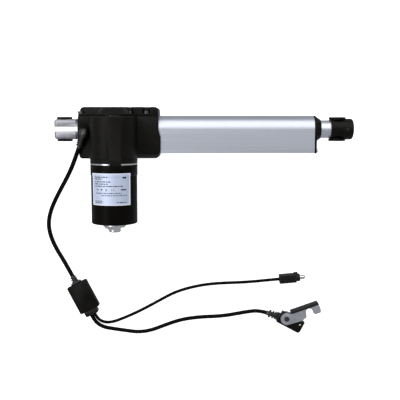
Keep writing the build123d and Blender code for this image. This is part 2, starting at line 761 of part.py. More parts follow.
# ---- outer profile and front cap ----
def outer_profile():
    section = profile_outline() - Circle(NUT_R + 0.3)
    low = PROFILE_LOW_Y + PROFILE_WALL
    high = -(NUT_R + 0.3 + PROFILE_WALL)
    chamber = Pos((low + high) / 2, 0) * Rectangle(high - low, 2 * (PROFILE_R - PROFILE_WALL))
    ports = [Pos(PORT_Y, side * PORT_Z) * Circle(PORT_R) for side in (1, -1)]
    section -= chamber
    for port in ports:
        section += port & profile_outline()
    section -= Pos(-16.0, 0) * Rectangle(6.0, 8.0)
    for side in (1, -1):
        section -= Pos(PORT_Y, side * PORT_Z) * Circle(SMALL_SCREW_R)
    return extrude_along_x(section, NECK_X, PROFILE_X1)


def front_cap():
    cap = extrude_along_x(profile_outline(0.3), PROFILE_X1, CAP_PLATE_X)
    cap = fillet(cap.edges().group_by(Axis.X)[-1], 0.8)
    cap += cone_x(CAP_PLATE_X - 0.5, CAP_TIP_X, PROFILE_R, CAP_TIP_R)
    cap -= round_x(PROFILE_X1 - 1, CAP_TIP_X + 1, ROD_R + 0.15)
    cap -= round_x(SEAL_X0, SEAL_X1, SEAL_R)
    for side in (1, -1):
        cap -= round_x(PROFILE_X1 - 1, CAP_TIP_X, SMALL_SCREW_R, PORT_Y, side * PORT_Z)
    return cap


def cap_screws():
    places = [Pos(CAP_PLATE_X, PORT_Y, side * PORT_Z) for side in (1, -1)]
    return [place * Rot(0, 90, 0) * small_screw() for place in places]


def rod_guide_bush():
    return ring_x(290.0, PROFILE_X1 - 0.4, ROD_R + 0.1, NUT_R + 0.3)


def rod_wiper_seal():
    return ring_x(SEAL_X0, SEAL_X1, ROD_R + 0.03, SEAL_R)


def limit_switch_board():
    low = PROFILE_LOW_Y + PROFILE_WALL
    return block(98.0, 290.0, low, low + 1.6, -8.5, 8.5)


def limit_switches():
    """Sealed reed switches under both ends of the magnet's travel."""
    top = PROFILE_LOW_Y + PROFILE_WALL + 1.6
    middle = NUT_X0 + 9
    return [round_x(x - 7, x + 7, 1.4, top + 1.4) for x in (middle, middle + STROKE)]


# ---- cables ----
def fillet_radii(route):
    points = [Vector(*p) for p in route]
    radii = []
    for before, here, after in zip(points, points[1:], points[2:]):
        turn = math.radians((here - before).get_angle(after - here))
        shorter = min((here - before).length, (after - here).length)
        radii.append(0.45 * shorter / math.tan(turn / 2))
    return radii


def cable(name, route, r):
    radii = fillet_radii(route)
    path = FilletPolyline(*route, radius=radii)
    start = Plane(origin=path @ 0, z_dir=path % 0)
    tube = sweep(start * Circle(r), path=path)
    ideal = math.pi * r * r * path.length
    print(name, "length", round(path.length, 1), "volume / ideal", round(tube.volume / ideal, 4))
    print("  radii", [round(x) for x in radii])
    return tube


def boot_rings(length, r_root, r_tip, count, groove):
    """Ribbed, tapered sleeve about X from x = 0 (root) to length (tip)."""
    pitch = length / count
    body = cone_x(0, length, r_root - groove, r_tip - groove)
    for i in range(count):
        x = pitch * i
        r = r_root + (r_tip - r_root) * x / length
        body += round_x(x, x + pitch * 0.55, r)
    return body


def cable_strain_relief():
    """Elbow in the front of the gearbox that turns the cable towards the table."""
    dx = MAIN_ROUTE[0][0] - ELBOW_X
    dy = MAIN_ROUTE[0][1] - ELBOW_Y
    dz = MAIN_ROUTE[0][2] - ELBOW_Z
    reach = math.hypot(dx, dy, dz)
    elbow = round_z(16.0, FRONT_Z + 1, GLAND_R, ELBOW_X, ELBOW_Y)
    elbow += round_z(FRONT_Z, FRONT_Z + 1, ELBOW_RING_R, ELBOW_X, ELBOW_Y)
    elbow -= motor_round(-50, 50, TOWER_R + 0.1)  # the ring stops at the tower
    elbow += round_z(FRONT_Z, ELBOW_Z, ELBOW_R, ELBOW_X, ELBOW_Y)
    elbow += Pos(ELBOW_X, ELBOW_Y, ELBOW_Z) * Sphere(ELBOW_R)
    sleeve = Plane(origin=(ELBOW_X, ELBOW_Y, ELBOW_Z), z_dir=(dx, dy, dz)).location * Rot(0, -90, 0)
    boot = cone_x(0, 6.0, 5.6, 5.2) + Pos(6.0, 0, 0) * boot_rings(reach - 6.0, 5.4, 3.9, 6, 0.9)
    return elbow + sleeve * boot


def box_frame():
    return turned_at(BOX_CENTRE, BOX_TURN_DEG)


def box_shell(top):
    """One half of the splitter box, hollow, in the frame of the box."""
    half_h = BOX_H / 2
    half_w = BOX_W / 2
    right = [(half_w, 0), (half_w, half_h - BOX_SLOPE_H), (half_w - BOX_SLOPE_W, half_h)]
    left = [(-y, z) for y, z in reversed(right)]
    shell = extrude_along_x(Polygon(*right, *left, align=None), -BOX_L / 2, BOX_L / 2)
    shell = fillet(shell.edges().filter_by(Axis.Z), 1.5)
    room = Box(BOX_L - 4, BOX_W - 4.5, BOX_ROOM_H, align=(Align.CENTER, Align.CENTER, Align.MIN))
    shell -= room
    for dx, dy in box_screw_spots():
        shell += round_z(0, half_h - BOX_SLOPE_H, 2.6, dx, dy)
    if not top:
        shell = mirror(shell, about=Plane.XY)
        for dx, dy in box_screw_spots():
            shell -= round_z(-half_h - 1, -half_h + 2.0, 2.5, dx, dy)
            shell -= round_z(-half_h, 1, SMALL_SCREW_R, dx, dy)
    else:
        for dx, dy in box_screw_spots():
            shell -= round_z(-1, 3.0, SMALL_SCREW_R, dx, dy)
    return shell


def box_screw_spots():
    return [(-BOX_L / 2 + 6, BOX_W / 2 - 6), (BOX_L / 2 - 6, -BOX_W / 2 + 6)]


def box_screws():
    places = [Pos(dx, dy, -BOX_H / 2 + 2.0) * Rot(180, 0, 0) for dx, dy in box_screw_spots()]
    return [box_frame() * place * small_screw() for place in places]


def splitter_board():
    board = Box(24.0, 10.0, 1.2, align=(Align.CENTER, Align.CENTER, Align.MIN))
    return box_frame() * Pos(0, 0, -BOX_ROOM_H) * board


def inlet_boot():
    collar = block(-2.5, 0, -6.6, 6.6, -4.5, 4.5)
    collar = fillet(collar.edges().filter_by(Axis.X), 1.2)
    sleeve = Rot(0, 0, 180) * boot_rings(INLET_LENGTH - 2.5, 4.4, 3.9, 3, 0.9)
    return box_frame() * Pos(-BOX_L / 2, 0, 0) * (collar + Pos(-2.5, 0, 0) * sleeve)


def outlet_collar():
    collar = block(0, OUTLET_LENGTH, -8.8, 8.8, -5.0, 5.0)
    collar = chamfer(collar.faces().sort_by(Axis.X)[-1].edges(), 1.5)
    return box_frame() * Pos(BOX_L / 2, 0, 0) * collar


def small_plug():
    grip = RectangleRounded(2 * PLUG_HALF_W, 2 * PLUG_HALF_H, 2.0)
    body = extrude_along_x(grip, 0, 22.0)
    body = chamfer(body.faces().sort_by(Axis.X)[0].edges(), 0.8)
    body += round_x(21.0, PLUG_L, 5.0)
    body += block(19.5, 24.5, 2.0, 7.4, -1.6, 1.6)
    body -= round_x(PLUG_L - 3, PLUG_L + 1, CONTACT_ROOT_R)
    return turned_at(PLUG_START, PLUG_TURN_DEG) * body


def plug_contact():
    pin = round_x(PLUG_L - 3, PLUG_L, CONTACT_ROOT_R) + round_x(PLUG_L, PLUG_L + 5.5, CONTACT_R)
    pin += cone_x(PLUG_L + 5.5, PLUG_L + 7.0, CONTACT_R, 1.6)
    pin -= round_x(PLUG_L + 2, PLUG_L + 8, 0.8)
    return turned_at(PLUG_START, PLUG_TURN_DEG) * pin


def latch_frame():
    return turned_at(LATCH_PIVOT, LATCH_TURN_DEG)


def lever_frame():
    return turned_at(LATCH_PIVOT, LEVER_TURN_DEG)


def latch_plug_body():
    """Flat plug body. The top of the nose is the seat of the closed grip."""
    outline = [
        (-9.6, -10.0), (22.2, -9.8), (24.0, -7.4), (23.6, 6.8), (0.8, 3.4), (0.8, 6.2), (-8.6, 6.2),
    ]
    body = extrude(Polygon(*outline, align=None), amount=LATCH_HALF_H, both=True)
    body -= round_z(-LATCH_HALF_H - 1, LATCH_HALF_H + 1, 2.5)
    body -= round_z(-LATCH_HALF_H - 1, LATCH_HALF_H + 1, LATCH_HOLE_R, 20.4, 0.6)
    body -= block(14.0, 26.0, -5.0, -2.2, -3.5, 3.5)
    return latch_frame() * body


def latch_contacts():
    blade = block(14.0, 23.6, -5.0, -2.2, 1.0, 3.5)
    return [latch_frame() * blade, latch_frame() * mirror(blade, about=Plane.XY)]


def latch_boot():
    foot = round_x(-LATCH_BOOT_FOOT, 0, 5.4)
    sleeve = Rot(0, 0, 180 + LATCH_BOOT_TURN_DEG) * boot_rings(LATCH_BOOT_L, 5.2, 4.1, 5, 1.4)
    return latch_frame() * Pos(*LATCH_BOOT_ROOT, 0) * (foot + Pos(-LATCH_BOOT_FOOT, 0, 0) * sleeve)


def lever_plates():
    """Two grey side plates. The upper one ends in a hook that grips the socket."""
    belly = [(0, -LATCH_EYE_R), (18.7, -8.9), (25.4, -6.4), (26.9, 1.0), (28.6, 3.3)]
    hook = [
        (31.9, 3.9), (34.4, 2.6), (35.4, 0.0), (35.6, -4.6), (37.5, -6.6), (45.1, -6.5), (46.3, -2.6), (46.0, 4.1),
    ]
    heel = [(7.0, 4.1), (5.0, 6.1), (0, LATCH_EYE_R)]
    gap = LATCH_HALF_H + 0.2
    plates = []
    for outline in (belly + hook + heel, belly + heel):
        plate = Polygon(*outline, align=None) + Circle(LATCH_EYE_R)
        plates.append(Pos(0, 0, gap) * (extrude(plate, amount=PLATE_T) - round_z(-1, PLATE_T + 1, 2.6)))
    return [lever_frame() * plates[0], lever_frame() * mirror(plates[1], about=Plane.XY)]


def lever_grip():
    half = LATCH_HALF_H + 0.2 + PLATE_T
    grip = block(GRIP_X0, GRIP_X1, GRIP_LOW, GRIP_TOP, -half, half)
    grip = fillet(grip.edges().filter_by(Axis.Z), 1.2)
    return lever_frame() * grip


def pivot_rivet():
    half = LATCH_HALF_H + 0.2 + PLATE_T
    rivet = round_z(-half, half, 2.5)
    for side in (1, -1):
        z0, z1 = sorted((side * half, side * (half + 0.3)))
        rivet += round_z(z0, z1, 3.4)
    return latch_frame() * rivet


# ---- the whole object ----
def main():
    os.makedirs("parts", exist_ok=True)

    save("rear_fork", rear_fork())
    save("rear_fork_bushes", *fork_bushes())
    save("fork_cross_pin", fork_cross_pin())

    save("gearbox_housing", gearbox_housing())
    save("gearbox_cover", gearbox_cover())
    save("cover_screws", *cover_screws())

    save("bearing_outer_races", *spindle_bearings(OUTER), *motor_bearings(OUTER))
    save("bearing_balls", *spindle_bearings(BALLS), *motor_bearings(BALLS))
    save("spindle_bearing_inner_races", *spindle_bearings(INNER))
    save("motor_bearing_inner_races", *motor_bearings(INNER))

    save("motor_mount_plate", motor_mount_plate())
    save("motor_can", motor_can())
    save("nameplate", nameplate())
    save("motor_magnets", *motor_magnets())
    save("armature_core", armature_core())
    save("armature_windings", armature_windings())
    save("commutator", commutator())
    save("brush_holder", brush_holder())
    save("carbon_brushes", *carbon_brushes())
    save("brush_springs", *brush_springs())
    save("motor_end_bell", motor_end_bell())
    save("motor_terminals", *motor_terminals())
    save("rear_motor_bush", rear_motor_bush())
    save("motor_shaft", motor_shaft())
    save("worm", worm())

    save("worm_wheel", worm_wheel(WHEEL_PHASE_DEG))
    save("wheel_key", key_block())
    save("lead_screw", lead_screw())
    save("retaining_nut", retaining_nut())
    save("spindle_end_guide", spindle_end_guide())
    save("drive_nut", drive_nut())
    save("nut_magnet", nut_magnet())

    save("push_tube", push_tube())
    save("rod_head", rod_head())
    save("rod_cross_pins", nut_pins(), rod_head_pin())
    head_bushes = [
        flanged_bush(INSTALLED, 0.3, HEAD_SPOT_Y, HEAD_BUSH_Y, 6.5, HEAD_BUSH_FLANGE_R, s) for s in (1, -1)
    ]
    save("rod_head_bushes", *head_bushes)

    save("outer_profile", outer_profile())
    save("front_cap", front_cap())
    save("small_screws", *end_screws(), *cap_screws(), *box_screws())
    save("rod_guide_bush", rod_guide_bush())
    save("rod_wiper_seal", rod_wiper_seal())
    save("limit_switch_board", limit_switch_board())
    save("limit_switches", *limit_switches())

    save("cable_strain_relief", cable_strain_relief())
    save("main_cable", cable("main_cable", MAIN_ROUTE, MAIN_CABLE_R))
    save("splitter_top_shell", box_frame() * box_shell(True))
    save("splitter_bottom_shell", box_frame() * box_shell(False))
    save("splitter_board", splitter_board())
    save("splitter_inlet_boot", inlet_boot())
    save("splitter_outlet_collar", outlet_collar())
    save("plug_cable", cable("plug_cable", PLUG_ROUTE, PLUG_CABLE_R))
    save("latch_cable", cable("latch_cable", LATCH_ROUTE, LATCH_CABLE_R))
    save("plug_body", small_plug())
    save("plug_contact", plug_contact())
    save("latch_plug_body", latch_plug_body())
    save("latch_plug_contacts", *latch_contacts())
    save("latch_plug_boot", latch_boot())
    save("latch_lever_plates", *lever_plates())
    save("latch_lever_grip", lever_grip())
    save("latch_pivot_rivet", pivot_rivet())


main()
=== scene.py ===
import bmesh
import bpy
import json
import math
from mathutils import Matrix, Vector

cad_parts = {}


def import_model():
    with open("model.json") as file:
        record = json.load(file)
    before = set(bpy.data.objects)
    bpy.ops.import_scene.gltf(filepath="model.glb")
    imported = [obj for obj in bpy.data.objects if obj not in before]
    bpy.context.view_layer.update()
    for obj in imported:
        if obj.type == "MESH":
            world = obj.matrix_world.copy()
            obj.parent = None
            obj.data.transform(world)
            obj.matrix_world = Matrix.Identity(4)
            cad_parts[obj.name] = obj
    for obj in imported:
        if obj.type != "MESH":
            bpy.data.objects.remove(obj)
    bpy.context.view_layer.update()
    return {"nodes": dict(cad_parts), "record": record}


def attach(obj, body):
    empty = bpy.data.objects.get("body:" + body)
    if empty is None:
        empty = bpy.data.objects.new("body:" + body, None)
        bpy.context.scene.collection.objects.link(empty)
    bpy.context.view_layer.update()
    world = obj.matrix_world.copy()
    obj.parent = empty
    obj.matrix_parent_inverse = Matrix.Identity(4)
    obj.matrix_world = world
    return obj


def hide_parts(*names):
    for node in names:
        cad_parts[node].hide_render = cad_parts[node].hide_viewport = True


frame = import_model()

# Metres throughout, in the frame of the CAD model, unless a comment says mm.
MM = 0.001
FLOOR_Z = -0.026
FLOOR_CENTRE = (0.168, -0.1)
FLOOR_HALF = 3.0
FLOOR_GLOW = 0.9           # keeps the floor as pale as a lit studio table
SKY = (0.93, 0.95, 1.0)
SKY_STRENGTH = 0.42

CAMERA_PLACE = (0.168875, 0.0026246, 0.838033)
CAMERA_TILT = -6.25        # degrees from straight down
LENS = 60.0                # mm, as is the sensor
SENSOR = 36.0

WEAR_REACH = 0.5 * MM      # how far wear spreads from a sharp edge
SCUFF_SCALE = 500.0        # per metre
GRAIN_STRENGTH = 0.6
SHARP_ANGLE = 32           # degrees; sharper edges are rounded
FLAT_ANGLE = 1.0           # degrees; flatter joins between faces are dissolved
ROUND = 2                  # power of a round section
RING_SIDES = 40
NEAR = 0.01                # part of a line over which its direction is read

MOTOR_AXIS = Vector((0.064, 0.0, 0.0255))
LABEL_R = 0.02815          # foil on the can
LABEL_RING_R = 0.02865     # foil on the raised ring of the can
LABEL_STEP_Y = -0.0555     # where the ring meets the can
LABEL_X0 = 0.0414
LABEL_X1 = 0.0848
LABEL_TOP = -0.0521
LABEL_FOOT = -0.0901
LABEL_RATIO = 0.88         # height over width of the label, so that round marks are round
INK_LIFT = 0.03            # mm above the foil, and below it

# Print, in parts of the label's width and height.
CELL = 0.04                # longest straight piece of a bar
WORDS = (0.05, 0.09, 0.035, 0.07)
WORD_GAP = 0.018
SHORTEST_WORD = 0.01
WORD_SHIFT = 40            # gives each line another first word, by its place down the label

# Control points of the three cables, the same as their routes in part.py.
MAIN_ROUTE = [
    (0.0214, -0.0228, 0.0246),
    (0.0169, -0.0345, 0.0238),
    (0.0106, -0.0476, 0.017),
    (0.0016, -0.0618, 0.005),
    (-0.0091, -0.0772, -0.0075),
    (-0.0194, -0.0937, -0.0175),
    (-0.0266, -0.1094, -0.0224),
    (-0.0289, -0.1246, -0.0232),
    (-0.0262, -0.1396, -0.0232),
    (-0.0196, -0.155, -0.023),
    (-0.0108, -0.1692, -0.0216),
    (-0.0027, -0.18274, -0.0195),
    (0.00162, -0.19119, -0.0195),
]
PLUG_ROUTE = [
    (0.03, -0.2415, -0.0195),
    (0.033, -0.247, -0.0195),
    (0.0376, -0.2516, -0.0202),
    (0.0442, -0.2542, -0.0214),
    (0.0522, -0.2542, -0.0228),
    (0.0611, -0.2516, -0.0238),
    (0.0759, -0.2456, -0.024),
    (0.094, -0.2369, -0.024),
    (0.1133, -0.2262, -0.024),
    (0.1375, -0.213, -0.024),
    (0.166, -0.2052, -0.024),
    (0.191, -0.2021, -0.024),
    (0.213, -0.2013, -0.0238),
    (0.236, -0.1998, -0.0226),
    (0.25687, -0.19715, -0.0205),
    (0.2728, -0.1957, -0.0205),
]
LATCH_ROUTE = [
    (0.02595, -0.24357, -0.0195),
    (0.0293, -0.2502, -0.0195),
    (0.0344, -0.2562, -0.0204),
    (0.0424, -0.261, -0.0218),
    (0.0535, -0.2633, -0.023),
    (0.0685, -0.2656, -0.0234),
    (0.087, -0.2682, -0.0234),
    (0.1046, -0.2655, -0.0234),
    (0.122, -0.2586, -0.0234),
    (0.144, -0.2508, -0.0234),
    (0.169, -0.2474, -0.0234),
    (0.197, -0.2464, -0.0234),
    (0.219, -0.2426, -0.0232),
    (0.234, -0.2396, -0.0223),
    (0.2464, -0.2381, -0.0203),
    (0.25624, -0.24065, -0.0197),
]


def link(name, data):
    obj = bpy.data.objects.new(name, data)
    bpy.context.scene.collection.objects.link(obj)
    return obj


def put(node, values):
    """Sets the sockets of a node by their names."""
    for key, value in values.items():
        node.inputs[key].default_value = value


# ---- stage ----
def camera():
    data = bpy.data.cameras.new("camera")
    data.lens = LENS
    data.sensor_width = SENSOR
    obj = link("camera", data)
    obj.location = CAMERA_PLACE
    obj.rotation_euler = (math.radians(CAMERA_TILT), 0.0, 0.0)
    bpy.context.scene.camera = obj


def panel(name, centre, target, width, height, radiance):
    """A soft box that faces the target. Its power follows from its radiance."""
    data = bpy.data.lights.new(name, "AREA")
    data.shape = "RECTANGLE"
    data.size = width
    data.size_y = height
    data.energy = radiance * math.pi * width * height
    obj = link(name, data)
    obj.location = centre
    direction = Vector(target) - Vector(centre)
    obj.rotation_euler = direction.to_track_quat("-Z", "Y").to_euler()
    obj.visible_camera = False


def floor():
    mesh = bpy.data.meshes.new("floor")
    x, y = FLOOR_CENTRE
    corners = [(x + i * FLOOR_HALF, y + j * FLOOR_HALF, FLOOR_Z)
               for i, j in ((-1, -1), (1, -1), (1, 1), (-1, 1))]
    mesh.from_pydata(corners, [], [(0, 1, 2, 3)])
    obj = link("floor", mesh)
    obj.visible_glossy = False
    material = bpy.data.materials.new("floor_white")
    material.use_nodes = True
    put(material.node_tree.nodes["Principled BSDF"], {
        "Base Color": (0.9, 0.9, 0.9, 1.0),
        "Roughness": 0.9,
        "Emission Color": (1.0, 1.0, 1.0, 1.0),
        "Emission Strength": FLOOR_GLOW,
    })
    mesh.materials.append(material)


def world():
    sky = bpy.data.worlds.new("studio")
    sky.use_nodes = True
    put(sky.node_tree.nodes["Background"], {"Color": (*SKY, 1.0), "Strength": SKY_STRENGTH})
    bpy.context.scene.world = sky
    bpy.context.scene.view_settings.view_transform = "Standard"


# ---- materials ----
def mixed(tree, factor, low, high):
    """A mix of two colours. The low one is a colour or a socket, the high one a colour."""
    node = tree.nodes.new("ShaderNodeMix")
    node.data_type = "RGBA"
    tree.links.new(factor, node.inputs["Factor"])
    first, second = [s for s in node.inputs if s.type == "RGBA"]
    if isinstance(low, tuple):
        first.default_value = (*low, 1.0)
    else:
        tree.links.new(low, first)
    second.default_value = (*high, 1.0)
    return [s for s in node.outputs if s.type == "RGBA"][0]


def ranged(tree, value, low, high, out_low, out_high):
    node = tree.nodes.new("ShaderNodeMapRange")
    tree.links.new(value, node.inputs["Value"])
    put(node, {"From Min": low, "From Max": high, "To Min": out_low, "To Max": out_high})
    return node.outputs["Result"]


def noise(tree, vector, scale, detail=3.0):
    node = tree.nodes.new("ShaderNodeTexNoise")
    put(node, {"Scale": scale, "Detail": detail})
    tree.links.new(vector, node.inputs["Vector"])
    return node.outputs["Fac"]


def product(tree, a, b):
    """Two values multiplied. The second is a number or a socket."""
    node = tree.nodes.new("ShaderNodeMath")
    node.operation = "MULTIPLY"
    tree.links.new(a, node.inputs[0])
    if isinstance(b, float):
        node.inputs[1].default_value = b
    else:
        tree.links.new(b, node.inputs[1])
    return node.outputs[0]


def edge_mask(tree):
    """1 on sharp edges and 0 on flat ground, from the bevelled normal."""
    bevel = tree.nodes.new("ShaderNodeBevel")
    bevel.samples = 4
    put(bevel, {"Radius": WEAR_REACH})
    geometry = tree.nodes.new("ShaderNodeNewGeometry")
    dot = tree.nodes.new("ShaderNodeVectorMath")
    dot.operation = "DOT_PRODUCT"
    tree.links.new(bevel.outputs[0], dot.inputs[0])
    tree.links.new(geometry.outputs["Normal"], dot.inputs[1])
    return ranged(tree, dot.outputs["Value"], 0.999, 0.9, 0.0, 1.0)


def finish(name, colour, roughness, metallic=0.0, spread=0.06, mottle=0.12, mottle_scale=90.0,
           grain=2200.0, depth=0.02, stretch=(1.0, 1.0, 1.0), wear=0.0, worn=None, **extra):
    """A surface with colour variation, worn edges, uneven gloss and a fine grain.

    grain and mottle_scale are per metre, depth is the grain's height in mm, and
    stretch draws the grain out into brushed or turned lines. A finish with wear
    also has worn, its colour where it is rubbed. extra names more shader sockets.
    """
    material = bpy.data.materials.new(name)
    material.use_nodes = True
    tree = material.node_tree
    shader = tree.nodes["Principled BSDF"]
    put(shader, {"Metallic": metallic})
    put(shader, {key.replace("_", " "): value for key, value in extra.items()})
    place = tree.nodes.new("ShaderNodeTexCoord")
    mapping = tree.nodes.new("ShaderNodeMapping")
    put(mapping, {"Scale": stretch})
    tree.links.new(place.outputs["Object"], mapping.inputs["Vector"])
    broad = noise(tree, mapping.outputs["Vector"], mottle_scale)
    fine = noise(tree, mapping.outputs["Vector"], grain, 2.0)
    low = tuple(c * (1 - mottle) for c in colour)
    high = tuple(min(1.0, c * (1 + mottle)) for c in colour)
    base = mixed(tree, ranged(tree, broad, 0.35, 0.65, 0.0, 1.0), low, high)
    rough = ranged(tree, broad, 0.3, 0.7, roughness - spread, roughness + spread)
    if wear:
        scuffs = ranged(tree, noise(tree, place.outputs["Object"], SCUFF_SCALE), 0.4, 0.6, 0.2, 1.0)
        base = mixed(tree, product(tree, edge_mask(tree), product(tree, scuffs, wear)), base, worn)
    tree.links.new(base, shader.inputs["Base Color"])
    tree.links.new(rough, shader.inputs["Roughness"])
    bump = tree.nodes.new("ShaderNodeBump")
    put(bump, {"Strength": GRAIN_STRENGTH, "Distance": depth * MM})
    tree.links.new(fine, bump.inputs["Height"])
    tree.links.new(bump.outputs["Normal"], shader.inputs["Normal"])
    return material


def banded(material, axis, scale, dark):
    """Adds thin dark lines across an axis: laminations, turns of wire."""
    tree = material.node_tree
    shader = tree.nodes["Principled BSDF"]
    place = tree.nodes.new("ShaderNodeTexCoord")
    wave = tree.nodes.new("ShaderNodeTexWave")
    wave.bands_direction = axis
    put(wave, {"Scale": scale, "Distortion": 0.6})
    tree.links.new(place.outputs["Object"], wave.inputs["Vector"])
    old = shader.inputs["Base Color"].links[0].from_socket
    lines = ranged(tree, wave.outputs["Fac"], 0.0, 0.35, 1.0, 0.0)
    tree.links.new(mixed(tree, lines, old, dark), shader.inputs["Base Color"])
    return material


BLACK = (0.0036, 0.0031, 0.0020)
DULL = 0.13                # plastics mirror less than the default
M = {
    "nylon": finish("black_nylon", BLACK, 0.42, grain=3200.0, depth=0.03, mottle=0.25, wear=0.5,
                    worn=(0.028, 0.027, 0.025), Specular_IOR_Level=DULL),
    "nylon_smooth": finish("black_nylon_smooth", BLACK, 0.30, grain=2600.0, depth=0.012,
                           mottle=0.2, wear=0.5, worn=(0.025, 0.025, 0.024),
                           Specular_IOR_Level=DULL),
    "can": finish("black_enamel", (0.0022, 0.0018, 0.0012), 0.36, grain=900.0, depth=0.035, mottle=0.2,
                  wear=0.7, worn=(0.12, 0.12, 0.12), Specular_IOR_Level=0.06),
    "pvc": finish("black_cable_pvc", (0.0024, 0.0021, 0.0016), 0.36, grain=4200.0, depth=0.018, mottle=0.25,
                  mottle_scale=160.0, spread=0.1, Specular_IOR_Level=0.06),
    "rubber": finish("black_soft_rubber", (0.0026, 0.0023, 0.0018), 0.36, grain=5200.0, depth=0.025,
                     mottle=0.3, spread=0.08, wear=0.4, worn=(0.025, 0.025, 0.025),
                     Specular_IOR_Level=0.3),
    "boot": finish("ribbed_boot_rubber", (0.0034, 0.0031, 0.0026), 0.27, grain=5200.0, depth=0.015,
                   mottle=0.3, spread=0.06, wear=0.5, worn=(0.03, 0.03, 0.03), Specular_IOR_Level=0.75),
    "anodised": finish("anodised_aluminium", (0.60, 0.63, 0.69), 0.38, 1.0, spread=0.03, mottle=0.03,
                       mottle_scale=700.0, grain=2600.0, depth=0.004, stretch=(0.01, 1.0, 1.0), wear=0.5,
                       worn=(0.9, 0.9, 0.92)),
    "tube": finish("satin_steel_tube", (0.66, 0.68, 0.74), 0.36, 1.0, spread=0.04, mottle=0.03,
                   mottle_scale=900.0, grain=3600.0, depth=0.004, stretch=(1.0, 0.02, 0.02)),
    "cast": finish("cast_zinc", (0.38, 0.38, 0.41), 0.46, 0.9, spread=0.08, mottle=0.08, mottle_scale=220.0,
                   grain=1500.0, depth=0.03, wear=0.7, worn=(0.6, 0.6, 0.63)),
    "bright": finish("bright_zinc_plate", (0.72, 0.73, 0.76), 0.24, 1.0, spread=0.08, mottle=0.1,
                     mottle_scale=260.0, grain=1800.0, depth=0.012, wear=0.4, worn=(0.95, 0.95, 0.95)),
    "screw": finish("zinc_screw_steel", (0.58, 0.58, 0.60), 0.30, 1.0, spread=0.08, mottle=0.12,
                    mottle_scale=500.0, grain=2400.0, depth=0.01, wear=0.6, worn=(0.9, 0.9, 0.9)),
    "dark_screw": finish("blackened_screw_steel", (0.10, 0.10, 0.105), 0.36, 1.0, spread=0.08, mottle=0.2,
                         mottle_scale=500.0, grain=2400.0, depth=0.01, wear=0.8, worn=(0.45, 0.45, 0.45)),
    "foil": finish("label_foil", (0.60, 0.67, 0.84), 0.48, 0.5, spread=0.05, mottle=0.05, mottle_scale=60.0,
                   grain=1500.0, depth=0.004, stretch=(1.0, 0.1, 1.0)),
    "ink": finish("label_ink", (0.018, 0.02, 0.035), 0.5, spread=0.08, mottle=0.3, mottle_scale=900.0),
    "border": finish("label_border", (0.86, 0.88, 0.93), 0.42, 0.1, spread=0.05, mottle=0.03),
    "lever": finish("grey_lever_nylon", (0.29, 0.30, 0.33), 0.42, mottle=0.1, mottle_scale=180.0,
                    grain=2800.0, depth=0.03, wear=0.5, worn=(0.36, 0.36, 0.39)),
    "grip": finish("dark_grip_rubber", (0.009, 0.009, 0.010), 0.5, grain=3800.0, depth=0.03, mottle=0.15,
                   wear=0.4, worn=(0.04, 0.04, 0.043), Specular_IOR_Level=0.3),
    "rivet": finish("dark_rivet_steel", (0.06, 0.06, 0.066), 0.33, 0.8, grain=2600.0, depth=0.01, wear=0.6,
                    worn=(0.3, 0.3, 0.3)),
    "black_pin": finish("blackened_pin_steel", (0.012, 0.012, 0.012), 0.42, 0.5, grain=2600.0, depth=0.01,
                        wear=0.3, worn=(0.05, 0.05, 0.05)),
    "nickel": finish("nickel_contact", (0.72, 0.70, 0.66), 0.2, 1.0, mottle=0.06, grain=2600.0,
                     depth=0.006),
    "steel": finish("ground_steel", (0.56, 0.57, 0.58), 0.25, 1.0, mottle=0.06, grain=2600.0, depth=0.008,
                    stretch=(0.2, 1.0, 1.0), wear=0.4, worn=(0.85, 0.85, 0.85)),
    "race": finish("bearing_steel", (0.62, 0.63, 0.65), 0.18, 1.0, mottle=0.04, grain=2600.0, depth=0.004),
    "screwthread": finish("rolled_thread_steel", (0.50, 0.50, 0.51), 0.28, 1.0, mottle=0.1,
                          mottle_scale=300.0, grain=1900.0, depth=0.012),
    "acetal": finish("white_acetal", (0.78, 0.77, 0.72), 0.38, mottle=0.05, grain=1800.0, depth=0.02,
                     wear=0.3, worn=(0.6, 0.6, 0.56), Subsurface_Weight=0.15),
    "wheel": finish("gear_nylon", (0.62, 0.56, 0.42), 0.42, mottle=0.1, grain=1700.0, depth=0.02,
                    Subsurface_Weight=0.1),
    "brass": finish("turned_brass", (0.72, 0.55, 0.26), 0.28, 1.0, mottle=0.08, grain=2200.0, depth=0.01),
    "ferrite": finish("ferrite_magnet", (0.06, 0.06, 0.065), 0.6, mottle=0.25, mottle_scale=400.0,
                      grain=1500.0, depth=0.06),
    "lamination": banded(finish("core_laminations", (0.36, 0.36, 0.37), 0.4, 0.9, mottle=0.1), "Y", 500.0,
                         (0.12, 0.11, 0.10)),
    "winding": banded(finish("enamelled_copper", (0.55, 0.19, 0.07), 0.3, 0.8, mottle=0.15,
                             Coat_Weight=0.6), "DIAGONAL", 420.0, (0.16, 0.045, 0.02)),
    "copper": banded(finish("commutator_copper", (0.80, 0.42, 0.25), 0.25, 1.0, mottle=0.08), "Y", 260.0,
                     (0.35, 0.16, 0.09)),
    "carbon": finish("carbon_brush", (0.03, 0.03, 0.032), 0.55, 0.2, mottle=0.3, grain=1800.0, depth=0.05),
    "phenolic": finish("brown_phenolic", (0.16, 0.075, 0.03), 0.45, mottle=0.25, mottle_scale=300.0,
                       grain=1500.0, depth=0.02),
    "board": finish("green_board", (0.02, 0.14, 0.05), 0.3, mottle=0.35, mottle_scale=420.0, grain=900.0,
                    depth=0.02, Coat_Weight=0.4),
    "glass": finish("reed_switch_glass", (0.80, 0.92, 0.86), 0.08, mottle=0.03, spread=0.03, depth=0.002,
                    Transmission_Weight=0.9, IOR=1.5),
    "seal": finish("wiper_polyurethane", (0.03, 0.05, 0.09), 0.4, mottle=0.15, grain=2000.0, depth=0.01),
}

